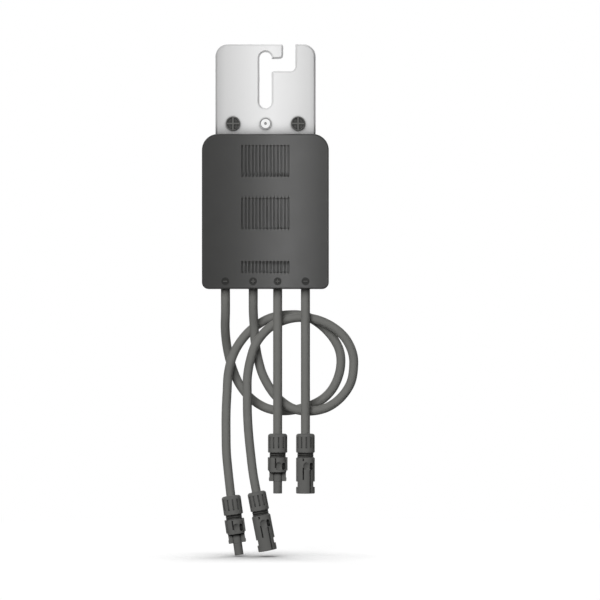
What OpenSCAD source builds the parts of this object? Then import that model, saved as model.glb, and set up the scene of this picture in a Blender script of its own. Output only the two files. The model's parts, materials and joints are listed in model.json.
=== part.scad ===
// Power optimizer for one solar panel: a sealed housing on a slotted bracket, with four leads and connectors.
// The origin is the bolt seat at the top of the bracket's slot, on the bracket's back face.
// +Z is up, +X is to the right seen from the front, and the front faces -Y. Millimetres.

/* [Bracket] */
// Width of the bracket plate
plate_w = 90.4; // [84:0.1:100]
// Thickness of the bracket plate
plate_t = 2; // [1.5:0.1:3]
// Height of the plate's top edge above the bolt seat
plate_rise = 12.6; // [10:0.1:16]
// Radius of the plate's two top corners
plate_corner_r = 11; // [4:0.5:14]
// Width of the slot, its side branch and its entry
slot_w = 11; // [9:0.1:12]
// Distance from the bolt seat to the centre of the slot's lower end
slot_drop = 39.4; // [30:0.1:42]
// Distance from the bolt seat down to the centre line of the side branch
branch_drop = 6.1; // [5.8:0.1:10]
// Distance from the slot to the entry, centre to centre
entry_x = 21.4; // [17:0.1:24]
// Radius of the outer bend between the branch and the entry
bend_r = 4.5; // [1:0.1:5]
// Radius of the hook's lower corner
hook_low_r = 3.5; // [1:0.1:4]
// Radius of the hook's upper corner and of the step beside the slot
hook_top_r = 2; // [0.5:0.1:3]
// Depth of the step in the housing that the plate's lower edge stands in
plate_step = 1.2; // [0.6:0.1:2]

/* [Housing] */
// Distance from the bolt seat down to the top of the housing
body_drop = 69.1; // [66:0.1:76]
// Width of the housing
body_w = 114; // [110:1:124]
// Height of the housing
body_h = 139.3; // [136:0.1:150]
// Depth of the housing at its sides, in front of the parting plane
body_d = 24; // [22:0.5:30]
// Height of the crowned face above its sides
crown = 4; // [1.5:0.1:5]
// Wall thickness of the housing
wall = 3; // [2.4:0.1:4]
// Radius of the housing's top corners
top_corner_r = 14.5; // [10:0.5:18]
// Radius of the housing's bottom corners
bottom_corner_r = 6; // [5:0.5:10]
// Radius of the edge round the face
edge_r = 2.5; // [2:0.5:4.5]
// Thickness of the back cover
cover_t = 3; // [2.6:0.1:4]
// Width of the tongue behind the bracket
tongue_w = 80; // [74:1:84]
// Height of the tongue above the housing
tongue_rise = 17.4; // [17:0.1:20]

/* [Grooves] */
// Number of grooves in each field
groove_count = 14; // [6:1:18]
// Distance from groove to groove
groove_pitch = 3.2; // [2.4:0.1:4]
// Width of a groove
groove_w = 1.3; // [0.6:0.1:1.8]
// Depth of a groove
groove_depth = 0.8; // [0.3:0.1:1.4]
// Distance from the housing's top to the upper field
upper_field_drop = 10.2; // [8:0.1:14]
// Length of the upper field
upper_field_len = 28.4; // [15:0.1:32]
// Distance from the housing's top to the middle field
middle_field_drop = 57.4; // [50:0.1:60]
// Length of the middle field
middle_field_len = 28.1; // [15:0.1:32]
// Distance from the housing's top to the lower field
lower_field_drop = 114.2; // [105:0.1:116]
// Length of the lower field
lower_field_len = 10.6; // [6:0.1:12]

/* [Fasteners] */
// Height of the rivet row above the housing
rivet_rise = 10.1; // [8.8:0.1:10.5]
// Distance between the two bracket rivets
rivet_pitch = 58.8; // [50:0.1:62]
// Diameter of a bracket rivet's head
rivet_head_d = 12.8; // [11:0.1:14]
// Height of a bracket rivet's head
rivet_head_t = 2.2; // [1.6:0.1:3]
// Diameter of a bracket rivet's shank
rivet_shank_d = 8; // [6:0.1:9]
// Width of the cross ribs in a bracket rivet's head
rivet_rib_w = 1.5; // [1:0.1:2.5]
// Diameter of the earth rivet's head
earth_head_d = 10.7; // [9:0.1:12]
// Height of the earth rivet's head
earth_head_t = 1.6; // [1.2:0.1:2.4]
// Diameter of the earth rivet's shank
earth_shank_d = 5; // [4:0.1:6]
// Diameter of the hole in the earth rivet
earth_hole_d = 2.4; // [1:0.1:3]
// Diameter of a cover screw's thread
cover_screw_d = 3; // [2.5:0.1:3.5]
// Diameter of a cover screw's head
cover_screw_head_d = 6; // [5:0.1:6.4]
// Length of a cover screw in its boss
cover_screw_grip = 10; // [6:0.5:14]
// Diameter of a board screw's thread
board_screw_d = 2.5; // [2:0.1:3]
// Diameter of a board screw's head
board_screw_head_d = 5.4; // [4.5:0.1:6]

/* [Board] */
// Width of the circuit board
board_w = 84; // [78:1:86]
// Thickness of the circuit board
board_t = 1.6; // [1.2:0.1:2]
// Distance from the housing's outline to the board's top and bottom edge
board_margin = 8; // [6:0.5:9]
// Height of the posts under the board
post_h = 4; // [3:0.1:4.5]
// Outer diameter of the inductor's winding
coil_d = 38; // [34:0.5:42]
// Outer diameter of the inductor's core
core_d = 33; // [28:0.5:33]
// Bore of the inductor's core
core_bore = 15; // [12:0.5:18]
// Thickness of the inductor's core
core_t = 8; // [6:0.5:9]
// Width, depth and height of a capacitor
capacitor_size = [26, 12, 14]; // [6:1:28]
// Width, depth and height of a power transistor
transistor_size = [10, 4.4, 13]; // [3:0.1:15]
// Width, depth and height of the bypass diode
diode_size = [10, 4.4, 14]; // [3:0.1:15]
// Width, depth and height of the controller chip
chip_size = [12, 1.4, 12]; // [1:0.1:14]
// Width and height of a lead terminal
terminal_size = [9, 9]; // [8.4:0.1:10]

/* [Leads] */
// Diameter of a lead
lead_d = 8.2; // [6:0.1:8.4]
// Distance from the housing's side to an outer lead
lead_inset = 21; // [20:0.1:24]
// Distance from the middle of the housing to an inner lead
inner_lead_x = 11; // [9:0.1:13]
// Distance from the parting plane to the leads
lead_depth = 12; // [10:0.1:13]
// Outer diameter of a grommet in the bottom wall
grommet_d = 12; // [10.4:0.1:13]
// Diameter of a grommet's inner flange
grommet_flange_d = 15; // [13.5:0.1:16]
// Thickness of a grommet's inner flange
grommet_flange_t = 2; // [1:0.1:2.4]

/* [Connectors] */
// Overall length of a connector
plug_len = 53.8; // [52:0.1:58]
// Diameter of a cap nut on a probe connector
probe_nut_d = 17.4; // [16.6:0.1:19]
// Diameter of a cap nut on a shell connector
shell_nut_d = 16.8; // [16.4:0.1:19]
// Length of a cap nut
nut_len = 17; // [15.5:0.1:17.5]
// Number of grip grooves round a cap nut
nut_groove_count = 12; // [8:1:16]
// Width of a grip groove
nut_groove_w = 1.4; // [1:0.1:2.4]
// Depth of a grip groove
nut_groove_depth = 0.6; // [0.3:0.1:0.6]
// Diameter of the threaded neck
neck_d = 14.2; // [13.4:0.1:14.2]
// Visible length of the neck between nut and housing
neck_gap = 4.3; // [3:0.1:5]
// Diameter of the probe housing's thick part
probe_body_d = 15.8; // [15.6:0.1:16.4]
// Width of the probe housing over its two side fins
fin_span = 17.8; // [17:0.1:19]
// Diameter of the shell housing
shell_body_d = 16.9; // [16.4:0.1:18]
// Length of the probe housing's thick part
probe_body_len = 13.4; // [12:0.1:14]
// Length of the side fins
fin_len = 11.8; // [10:0.1:12.2]
// Diameter of the probe
probe_d = 8; // [7.4:0.1:8.2]
// Diameter of the probe's root between the latch fingers
probe_root_d = 8.4; // [8.3:0.1:8.8]
// Length of a latch finger, measured from the end of its fin
finger_len = 9.6; // [8:0.1:10.5]
// Thickness of a latch finger
finger_t = 3; // [2.6:0.1:3.2]
// Width of a latch finger
finger_w = 4.8; // [4:0.1:5]
// Gap between a latch finger and the probe's root
finger_gap = 0.3; // [0.2:0.1:0.6]
// Height of the barb on a latch finger
barb_h = 0.4; // [0.2:0.1:0.6]
// Length of the barb on a latch finger
barb_len = 3; // [2:0.1:4]
// Distance from the shell housing's end to its latch windows
window_rise = 5.8; // [5:0.1:7]
// Length of a latch window
window_len = 5; // [4:0.1:6]
// Depth of a latch window from the shell's side
window_depth = 1.3; // [0.8:0.1:1.6]
// Diameter of a contact
contact_d = 5.2; // [4.8:0.1:5.6]
// Diameter of a mating pin
pin_d = 4; // [3.6:0.1:4.2]

/* [Clearances] */
// Clearance round pieces that slide into each other, on the radius
fit_gap = 0.1; // [0.05:0.01:0.2]
// Clearance round loose pieces
loose_gap = 0.3; // [0.2:0.05:0.5]

/* [Hidden] */
$fn = 64;

// Colours
plastic_grey = "#555552";
connector_grey = "#4c4c4a";
lead_grey = "#6c6c69";
bare_metal = "#c9cbcc";
rubber_black = "#2a2a2a";
copper = "#b87333";
tin = "#b9bcc0";
board_green = "#2f5d3a";
ferrite = "#3a3a3d";
epoxy_black = "#1d1d1f";

// Housing heights and the crowned face
body_top = -body_drop;
body_bottom = body_top - body_h;
crown_r = (pow(body_w / 2, 2) + pow(crown, 2)) / (2 * crown);
face_y = -body_d - crown;
rivet_z = body_top + rivet_rise;
plate_bottom = body_top - plate_step;
tongue_top = body_top + tongue_rise;
tongue_corner_r = 4;
cut = 1;

// Gasket between the housing's rim and the cover
gasket_w = 1.4;
gasket_t = 1.2;
gasket_inset = (wall - gasket_w) / 2;

// Screw bosses inside the housing
boss_d = 7;
boss_sink = 0.5;
boss_top_gap = 7.5;
boss_inset_x = wall + boss_d / 2 - boss_sink;
boss_top_inset = wall + boss_top_gap;
boss_bottom_inset = wall + boss_d / 2 - boss_sink;
boss_places = [for (side = [-1, 1], z = [body_top - boss_top_inset, body_bottom + boss_bottom_inset])
    [side * (body_w / 2 - boss_inset_x), z]];
cover_screw_head_t = 1.6;
cover_screw_relief = 1;

// Circuit board and what stands on it
board_top = body_top - board_margin;
board_bottom = body_bottom + board_margin;
board_y = -post_h - board_t;
post_d = 6;
post_inset_x = 6;
post_top_inset = 7;
post_bottom_inset = 18;
post_places = [for (side = [-1, 1], z = [board_top - post_top_inset, board_bottom + post_bottom_inset])
    [side * (board_w / 2 - post_inset_x), z]];
board_screw_head_t = 1.8;
board_screw_bite = 1.2;
coil_wall = (coil_d - core_d) / 2 - loose_gap;
coil_t = core_t + 2 * (coil_wall + loose_gap);
coil_drop = 17;
part_gap = 4;
coil_z = board_top - coil_d / 2 - coil_drop;
capacitor_gap = 14;
capacitor_x = (capacitor_size.x + capacitor_gap) / 2;
capacitor_z = coil_z - coil_d / 2 - capacitor_size.z / 2 - part_gap;
transistor_gap = 6;
transistor_pitch = transistor_size.x + transistor_gap;
transistor_z = capacitor_z - capacitor_size.z / 2 - transistor_size.z / 2 - part_gap;
small_part_x = 31;

// Places where the leads leave the housing
outer_lead_x = body_w / 2 - lead_inset;
output_negative_exit = [-outer_lead_x, -lead_depth, body_bottom];
output_positive_exit = [-inner_lead_x, -lead_depth, body_bottom];
input_positive_exit = [inner_lead_x, -lead_depth, body_bottom];
input_negative_exit = [outer_lead_x, -lead_depth, body_bottom];

// Routes from the terminal to the connector's cap nut, measured from where each lead leaves the housing
output_negative_route = placed(output_negative_exit, [
    [0, 0, 9.4], [0, 0, -4.6], [0, 3, -19.6], [-0.4, 11, -35.6], [1, 21, -51.6],
    [4.6, 26, -67.6], [11.6, 26, -85], [23, 25, -99.2], [38, 22, -108], [55, 20, -110],
    [73.4, 19, -106.2], [87.8, 19, -99.2], [97.8, 19, -88], [103.4, 19, -72.8], [103.4, 19, -57.6],
    [97.3, 19, -44.4], [86, 19, -32.4], [72, 19, -24.4], [56, 19, -23.2], [40, 19, -26.2],
    [25.8, 19, -34.3], [14.7, 17, -45.6], [6.6, 15, -59.6], [2.4, 14, -75.6], [1.2, 13, -93.6],
    [0.4, 11, -111.6], [0.4, 9, -129.6], [0.8, 8, -147.6], [2.6, 8, -167], [4.8, 8, -186.4]]);
output_positive_route = placed(output_positive_exit, [
    [0, 0, 9.4], [0, 0, -4.6], [0, 4, -19.6], [0.7, 10, -33.6], [1.7, 13, -48.6],
    [4.6, 13, -64.6], [9.5, 12, -79.6], [19.6, 11, -95.6], [33.8, 10, -106.8], [49, 9, -110.1],
    [65.4, 9, -107.2], [78.6, 9, -98.2], [87.7, 9, -84.9], [90.5, 9, -69.6], [89.2, 9, -56.6],
    [82.2, 9, -43.3], [70.2, 9, -33.2], [56, 9, -27.2], [41, 9, -25.6], [27, 9, -28.4],
    [13.8, 7, -35.4], [2.8, 4, -48.4], [-2.3, 3, -62.6], [-5.2, 3, -78.6], [-5.4, 3, -95.6],
    [-5.2, 3, -112.6], [-4.2, 3, -129.6], [-2.3, 3, -148.6], [-0.1, 3, -166.6], [2.8, 3, -182.6]]);
straight_steps = [[0, 0, 9.4], [0, 0, -10.6], [0, 0, -30.6], [0, 0, -50.6], [0, 0, -70.6], [0, 0, -90.6],
    [0, 0, -110.6], [0, 0, -130.1]];
input_positive_route = placed(input_positive_exit, straight_steps);
input_negative_route = placed(input_negative_exit, straight_steps);

// Tilt of the connectors on the looped leads, towards +X at their lower ends
output_negative_tilt = 8;
output_positive_tilt = 11;

lead_starts = [output_negative_route[0], output_positive_route[0], input_positive_route[0],
    input_negative_route[0]];
lead_sides = 10;
lead_r = lead_d / 2;

// Stations along a connector, measured from the top of its cap nut
nut_round = 2.2;
nut_shoulder = 6.2;
seal_flange_t = 1;
neck_top = nut_shoulder + seal_flange_t;
seal_grip = 8;
seal_end = neck_top + seal_grip;
seal_d = 11;
body_start = nut_len + neck_gap;
probe_body_end = body_start + probe_body_len;
fin_end = body_start + fin_len;
fin_w = 7;
finger_hug = 1.2;
finger_end = fin_end + finger_len;
nut_groove_phase = 6;
mating_depth = 21;
mating_start = plug_len - mating_depth;
mating_gap = 0.4;
mating_r = probe_d / 2 + mating_gap;
contact_recess = 1.5;
pin_recess = 3;
socket_depth = 14;
chamfer = 0.8;

// Moulded marks on the front of a connector housing
dimple_r = 5;
dimple_depth = 1.8;
dimple_x = 1.6;
dimple_station = 29.2;
pocket_w = 2.6;
pocket_len = 6.4;
pocket_depth = 2.4;
pocket_x = 5.2;
slit_w = 1.3;
slit_depth = 1.3;
slit_x = -1.9;
slit_inset = 0.8;
probe_slit_len = 9.2;
short_slit_len = 3.2;
long_slit_len = 11;
long_slit_gap = 1.6;
rail_w = 1.2;
rail_depth = 0.8;
rail_x = 4.3;

function unit(v) = v / norm(v);
// Points measured from a place
function placed(exit, steps) = [for (step = steps) exit + step];
// Direction of a connector's axis, from its cap nut to its mating end
function plug_axis(tilt) = [sin(tilt), 0, -cos(tilt)];
// A lead's route with the stretch inside its connector added
function full_route(route, tilt) = concat(route, [route[len(route) - 1] + seal_end * plug_axis(tilt)]);
// Direction of a route at one of its points
function heading(route, i) = unit(route[min(i + 1, len(route) - 1)] - route[max(i - 1, 0)]);
// One ring of points round a route
function ring(p, along, r) =
    let (side = unit(cross(along, [0, 1, 0])), rise = cross(side, along))
    [for (k = [0:lead_sides - 1])
        let (turn = 360 * k / lead_sides) p + r * (cos(turn) * side + sin(turn) * rise)];
// Distance from a connector's axis to its front at a given x
function front_of(d, x) = sqrt(pow(d / 2, 2) - pow(x, 2));
// Distance of the crowned face from the parting plane's height at a given x
function crown_y(x) = face_y + crown_r - sqrt(pow(crown_r, 2) - pow(x, 2));

// Extrudes an outline drawn in x and z between two depths
module upright(y_front, y_back) {
    translate([0, y_back, 0]) rotate([90, 0, 0]) linear_extrude(y_back - y_front) children();
}

// Turns a shape's +Z axis to the front and puts it at a place in x and z
module facing(place, y = 0) {
    translate([place.x, y, place.y]) rotate([90, 0, 0]) children();
}

// Outline with rounded corners, given by its width, top edge, height and corner radii
module panel(w, top, h, r_top, r_bottom) {
    difference() {
        translate([-w / 2, top - h]) square([w, h]);
        for (side = [-1, 1]) {
            corner_waste([side * w / 2, top], r_top, [-side, -1]);
            corner_waste([side * w / 2, top - h], r_bottom, [-side, 1]);
        }
    }
}

// Outline of the housing, moved inwards
module body_panel(inset) {
    panel(body_w - 2 * inset, body_top - inset, body_h - 2 * inset,
        max(top_corner_r - inset, 0.5), max(bottom_corner_r - inset, 0.5));
}

// Waste at a convex corner of an outline; inward points from the corner into the plate
module corner_waste(corner, r, inward) {
    translate(corner) difference() {
        translate([inward.x > 0 ? -cut : -r, inward.y > 0 ? -cut : -r]) square(r + cut);
        translate(inward * r) circle(r);
    }
}

// Cylinder that carries the crown, moved inwards
module crown_drum(inset) {
    translate([0, face_y + crown_r, body_bottom - cut])
        cylinder(r = crown_r - inset, h = body_h + 2 * cut, $fn = 360);
}

// One corner of the housing with its rounded front edge
module housing_corner(r) {
    steps = 6;
    edge = [for (i = [0:steps]) edge_r * [cos(90 * i / steps) - 1, sin(90 * i / steps) - 1] + [r, body_d]];
    rotate_extrude($fn = 48) polygon(concat([[0, 0], [r, 0]], edge, [[0, body_d]]));
}

// Outer form of the housing, with its crowned face
module housing_form() {
    hull() {
        for (side = [-1, 1]) {
            facing([side * (body_w / 2 - top_corner_r), body_top - top_corner_r])
                housing_corner(top_corner_r);
            facing([side * (body_w / 2 - bottom_corner_r), body_bottom + bottom_corner_r])
                housing_corner(bottom_corner_r);
        }
        intersection() {
            upright(face_y, -body_d) body_panel(edge_r);
            crown_drum(0);
        }
    }
}

// One field of upright grooves that follow the crown
module groove_field(drop, length) {
    for (i = [0:groove_count - 1]) {
        x = (i - (groove_count - 1) / 2) * groove_pitch;
        translate([x - groove_w / 2, face_y - cut, body_top - drop - length])
            cube([groove_w, crown_y(x) + groove_depth - face_y + cut, length]);
    }
}

module front_housing() {
    color(plastic_grey) difference() {
        union() {
            difference() {
                housing_form();
                intersection() {
                    upright(face_y, cut) body_panel(wall);
                    crown_drum(wall);
                }
            }
            for (place = boss_places)
                facing(place) cylinder(d = boss_d, h = -crown_y(place.x) - wall / 2);
        }
        for (place = boss_places)
            facing(place, cut)
                cylinder(d = cover_screw_d + 2 * fit_gap, h = cover_screw_grip + cover_screw_relief + cut);
        for (start = lead_starts)
            translate([start.x, start.y, body_bottom - cut])
                cylinder(d = grommet_d + 2 * fit_gap, h = wall + 2 * cut);
        groove_field(upper_field_drop, upper_field_len);
        groove_field(middle_field_drop, middle_field_len);
        groove_field(lower_field_drop, lower_field_len);
        translate([-plate_w / 2 - loose_gap, -plate_t - loose_gap, plate_bottom])
            cube([plate_w + 2 * loose_gap, plate_t + loose_gap + cut, plate_step + cut]);
    }
}

module back_cover() {
    color(plastic_grey) difference() {
        union() {
            upright(0, cover_t) body_panel(0);
            upright(0, cover_t)
                panel(tongue_w, tongue_top, tongue_rise + wall + tongue_corner_r,
                    tongue_corner_r, tongue_corner_r);
            for (place = post_places)
                facing(place, cut) cylinder(d = post_d, h = post_h + cut);
        }
        upright(-cut, gasket_t) gasket_outline();
        for (place = boss_places) {
            facing(place, cover_t + cut) cylinder(d = cover_screw_d + 2 * loose_gap, h = cover_t + 2 * cut);
            facing(place, cover_t + cut)
                cylinder(d = cover_screw_head_d + 2 * loose_gap, h = cover_screw_head_t + cut);
        }
        for (place = post_places)
            facing(place, board_screw_bite)
                cylinder(d = board_screw_d + 2 * fit_gap, h = board_screw_bite + post_h + cut);
        for (side = [-1, 1])
            facing([side * rivet_pitch / 2, rivet_z], cover_t + cut)
                cylinder(d = rivet_shank_d + 2 * fit_gap, h = cover_t + 2 * cut);
        facing([0, rivet_z], cover_t + cut) cylinder(d = earth_shank_d + 2 * fit_gap, h = cover_t + 2 * cut);
    }
}

// Outline of the gasket under the housing's rim
module gasket_outline() {
    difference() {
        body_panel(gasket_inset);
        body_panel(gasket_inset + gasket_w);
    }
}

module housing_gasket() {
    color(rubber_black) upright(0, gasket_t) gasket_outline();
}

module cover_screws() {
    color(tin) for (place = boss_places)
        facing(place, cover_t) {
            cylinder(d = cover_screw_head_d, h = cover_screw_head_t);
            cylinder(d = cover_screw_d, h = cover_t + cover_screw_grip);
        }
}

// Opening in the bracket: the slot, its side branch and the entry from the top edge
module j_slot() {
    r = slot_w / 2;
    branch_low = -branch_drop - r;
    entry_right = entry_x + r;
    circle(r);
    translate([-r, -slot_drop]) square([slot_w, slot_drop]);
    translate([0, -slot_drop]) circle(r);
    translate([0, branch_low]) square([entry_right - bend_r, slot_w]);
    translate([entry_x - r, branch_low + bend_r]) square([slot_w, plate_rise - branch_low - bend_r + cut]);
    translate([entry_right - bend_r, branch_low + bend_r]) circle(bend_r);
    corner_waste([r, branch_low], hook_top_r, [1, -1]);
    corner_waste([entry_x - r, -branch_drop + r], hook_low_r, [-1, 1]);
    corner_waste([entry_x - r, plate_rise], hook_top_r, [-1, -1]);
}

module mounting_bracket() {
    color(bare_metal) difference() {
        upright(-plate_t, 0) difference() {
            translate([-plate_w / 2, plate_bottom]) square([plate_w, plate_rise - plate_bottom]);
            for (side = [-1, 1])
                corner_waste([side * plate_w / 2, plate_rise], plate_corner_r, [-side, -1]);
            j_slot();
        }
        for (side = [-1, 1])
            facing([side * rivet_pitch / 2, rivet_z], cut)
                cylinder(d = rivet_shank_d + 2 * fit_gap, h = plate_t + 2 * cut);
        facing([0, rivet_z], cut) cylinder(d = earth_shank_d + 2 * fit_gap, h = plate_t + 2 * cut);
    }
}

// One moulded rivet, with its flange behind the tongue and four pockets in its head
module bracket_rivet() {
    tail_t = 1.2;
    tail_lip = 1.4;
    tail_r = rivet_shank_d / 2 + tail_lip;
    head_r = rivet_head_d / 2;
    head_top = plate_t + rivet_head_t;
    rim = 0.9;
    edge = 0.5;
    recess_depth = rivet_head_t * 0.6;
    difference() {
        rotate_extrude() polygon([[0, -cover_t - tail_t], [tail_r, -cover_t - tail_t], [tail_r, -cover_t],
            [rivet_shank_d / 2, -cover_t], [rivet_shank_d / 2, plate_t], [head_r, plate_t],
            [head_r, head_top - edge], [head_r - edge, head_top], [0, head_top]]);
        translate([0, 0, head_top - recess_depth]) difference() {
            cylinder(r = head_r - rim, h = recess_depth + cut);
            for (turn = [0, 90]) rotate([0, 0, turn])
                translate([-head_r, -rivet_rib_w / 2, -cut])
                    cube([2 * head_r, rivet_rib_w, recess_depth + 3 * cut]);
        }
    }
}

module bracket_rivets() {
    color(rubber_black) for (side = [-1, 1])
        facing([side * rivet_pitch / 2, rivet_z]) bracket_rivet();
}

module earth_rivet() {
    tail_t = 1.4;
    tail_lip = 1.5;
    tail_r = earth_shank_d / 2 + tail_lip;
    head_r = earth_head_d / 2;
    brim = 0.5;
    dome_r = (pow(head_r, 2) + pow(earth_head_t - brim, 2)) / (2 * (earth_head_t - brim));
    hole_depth = 3;
    color(bare_metal) facing([0, rivet_z]) difference() {
        union() {
            translate([0, 0, -cover_t - tail_t]) cylinder(r = tail_r, h = tail_t);
            translate([0, 0, -cover_t - tail_t])
                cylinder(d = earth_shank_d, h = cover_t + tail_t + plate_t + brim);
            translate([0, 0, plate_t]) intersection() {
                cylinder(r = head_r, h = earth_head_t);
                translate([0, 0, earth_head_t - dome_r]) sphere(r = dome_r);
            }
        }
        translate([0, 0, plate_t + earth_head_t - hole_depth])
            cylinder(d = earth_hole_d, h = hole_depth + cut);
    }
}

module circuit_board() {
    color(board_green) difference() {
        upright(board_y, -post_h)
            translate([-board_w / 2, board_bottom]) square([board_w, board_top - board_bottom]);
        for (place = post_places)
            facing(place, -post_h + cut) cylinder(d = board_screw_d + 2 * fit_gap, h = board_t + 2 * cut);
    }
}

module board_screws() {
    color(tin) for (place = post_places)
        facing(place) {
            translate([0, 0, -board_screw_bite])
                cylinder(d = board_screw_d, h = board_screw_bite + post_h + board_t);
            translate([0, 0, post_h + board_t]) cylinder(d = board_screw_head_d, h = board_screw_head_t);
        }
}

// Square-section ring that lies flat on the board
module flat_ring(d, bore, t) {
    difference() {
        cylinder(d = d, h = t);
        translate([0, 0, -cut]) cylinder(d = bore, h = t + 2 * cut);
    }
}

module inductor_core() {
    color(ferrite) facing([0, coil_z], board_y - coil_wall - loose_gap)
        flat_ring(core_d, core_bore, core_t);
}

module inductor_winding() {
    color(copper) facing([0, coil_z], board_y) difference() {
        flat_ring(coil_d, core_bore - 2 * (coil_wall + loose_gap), coil_t);
        translate([0, 0, coil_wall]) flat_ring(core_d + 2 * loose_gap, core_bore - 2 * loose_gap,
            core_t + 2 * loose_gap);
    }
}

// A block that stands on the board, centred on a place
module on_board(place, size) {
    translate([place.x - size.x / 2, board_y - size.y, place.y - size.z / 2]) cube(size);
}

module input_capacitor() {
    color(epoxy_black) on_board([capacitor_x, capacitor_z], capacitor_size);
}

module output_capacitor() {
    color(epoxy_black) on_board([-capacitor_x, capacitor_z], capacitor_size);
}

module power_transistors() {
    color(epoxy_black) for (i = [-1.5:1:1.5])
        on_board([i * transistor_pitch, transistor_z], transistor_size);
}

module bypass_diode() {
    color(epoxy_black) on_board([small_part_x, coil_z], diode_size);
}

module controller_chip() {
    color(epoxy_black) on_board([-small_part_x, coil_z], chip_size);
}

module lead_terminals() {
    reach = 4;
    hole_d = 3;
    color(tin) for (start = lead_starts)
        difference() {
            translate([start.x - terminal_size.x / 2, start.y - reach, start.z])
                cube([terminal_size.x, board_y - start.y + reach, terminal_size.y]);
            translate([start.x, start.y, start.z + terminal_size.y / 2]) rotate([90, 0, 0])
                cylinder(d = hole_d, h = reach + cut);
        }
}

// Bush round a lead in the bottom wall, with its flange inside
module grommet(route) {
    color(rubber_black) translate([route[0].x, route[0].y, body_bottom]) difference() {
        union() {
            cylinder(d = grommet_d, h = wall + grommet_flange_t);
            translate([0, 0, wall]) cylinder(d = grommet_flange_d, h = grommet_flange_t);
        }
        translate([0, 0, -cut]) cylinder(d = lead_d + 2 * fit_gap, h = wall + grommet_flange_t + 2 * cut);
    }
}

// Plain tube swept along a lead's route, closed at both ends
module lead(route, tilt) {
    path = full_route(route, tilt);
    rings = len(path);
    n = lead_sides;
    points = [for (i = [0:rings - 1]) each ring(path[i], heading(path, i), lead_r)];
    walls = [for (i = [0:rings - 2], k = [0:n - 1])
        [i * n + k, i * n + (k + 1) % n, (i + 1) * n + (k + 1) % n, (i + 1) * n + k]];
    start_cap = [for (k = [n - 1:-1:0]) k];
    end_cap = [for (k = [0:n - 1]) (rings - 1) * n + k];
    color(lead_grey) polyhedron(points, concat(walls, [start_cap, end_cap]));
}

// Puts a connector piece on its lead; inside, the axis runs down from the cap nut's top
module on_lead(route, tilt) {
    translate(route[len(route) - 1]) rotate([0, -tilt, 0]) children();
}

// Cylinder between two stations along a connector
module span(from, to, d) {
    translate([0, 0, -to]) cylinder(d = d, h = to - from);
}

module cap_nut(d) {
    r = d / 2;
    groove_r = nut_groove_w / 2;
    groove_from = 3;
    collar_len = 4.1;
    groove_to = nut_len - collar_len;
    round_steps = 4;
    color(connector_grey) difference() {
        rotate_extrude() polygon(concat([[0, 0]],
            [for (i = [0:round_steps]) [r - nut_round + nut_round * sin(90 * i / round_steps),
                nut_round * (cos(90 * i / round_steps) - 1)]],
            [[r, chamfer / 2 - nut_len], [r - chamfer / 2, -nut_len], [0, -nut_len]]));
        span(-cut, nut_shoulder + cut, lead_d + 2 * loose_gap);
        span(nut_shoulder, nut_len + cut, neck_d + 2 * fit_gap);
        for (i = [0:nut_groove_count - 1])
            rotate([0, 0, nut_groove_phase + i * 360 / nut_groove_count])
                translate([r + groove_r - nut_groove_depth, 0, 0]) span(groove_from, groove_to, nut_groove_w);
    }
}

// Rubber sleeve that grips the lead inside the neck
module cable_seal() {
    color(rubber_black) difference() {
        union() {
            span(nut_shoulder, neck_top, neck_d);
            span(neck_top, seal_end, seal_d - 2 * fit_gap);
        }
        span(nut_shoulder - cut, seal_end + cut, lead_d + 2 * fit_gap);
    }
}

// Neck and thick part shared by both housings, with the seat of the seal and the contact's bore
module plug_shank(d, body_end) {
    r = d / 2;
    difference() {
        union() {
            span(neck_top, body_start + cut, neck_d);
            rotate_extrude() polygon([[0, -body_start], [r - chamfer, -body_start],
                [r, -body_start - chamfer],
                [r, -body_end + chamfer / 2], [r - chamfer / 2, -body_end], [0, -body_end]]);
        }
        span(neck_top - cut, seal_end + fit_gap, seal_d);
        span(seal_end - cut, body_end + cut, contact_d + 2 * fit_gap);
        translate([dimple_x, dimple_depth - dimple_r - front_of(d, dimple_x), -dimple_station])
            sphere(r = dimple_r);
        pocket(d);
    }
}

// Deep pocket at the right of the dimple
module pocket(d) {
    straight = pocket_len - pocket_w;
    depth = d / 2 - front_of(d, pocket_x) + pocket_depth + cut;
    translate([pocket_x, -d / 2 - cut, -dimple_station]) rotate([-90, 0, 0]) {
        for (end = [-1, 1]) translate([0, end * straight / 2, 0]) cylinder(d = pocket_w, h = depth);
        translate([-pocket_w / 2, -straight / 2, 0]) cube([pocket_w, straight, depth]);
    }
}

// Upright slit in the front of a housing
module slit(d, from, to, x = slit_x, w = slit_w, depth = slit_depth) {
    translate([x - w / 2, -front_of(d, x) - cut, -to]) cube([w, depth + cut, to - from]);
}

// Latch finger with a barb on its end and a hollow inner side that follows the probe's root
module latch_finger() {
    hollow_r = probe_root_d / 2 + finger_gap;
    inner = hollow_r - finger_hug;
    outer = hollow_r + finger_t;
    root_len = 3;
    root = root_len - probe_body_end;
    difference() {
        upright(-finger_w / 2, finger_w / 2)
            polygon([[inner, root], [inner, -finger_end], [outer, -finger_end],
                [outer + barb_h, chamfer - finger_end], [outer + barb_h, barb_len - finger_end],
                [outer, barb_len + barb_h - finger_end], [outer, root]]);
        span(probe_body_end - cut, finger_end + cut, 2 * hollow_r);
    }
}

// Fins at both sides of a probe housing, with the bore left free
module side_fins() {
    difference() {
        intersection() {
            span(body_start, fin_end, fin_span);
            translate([-fin_span / 2, -fin_w / 2, -fin_end]) cube([fin_span, fin_w, fin_len]);
        }
        span(body_start - cut, fin_end + cut, probe_body_d - 2 * cut);
    }
}

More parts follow.
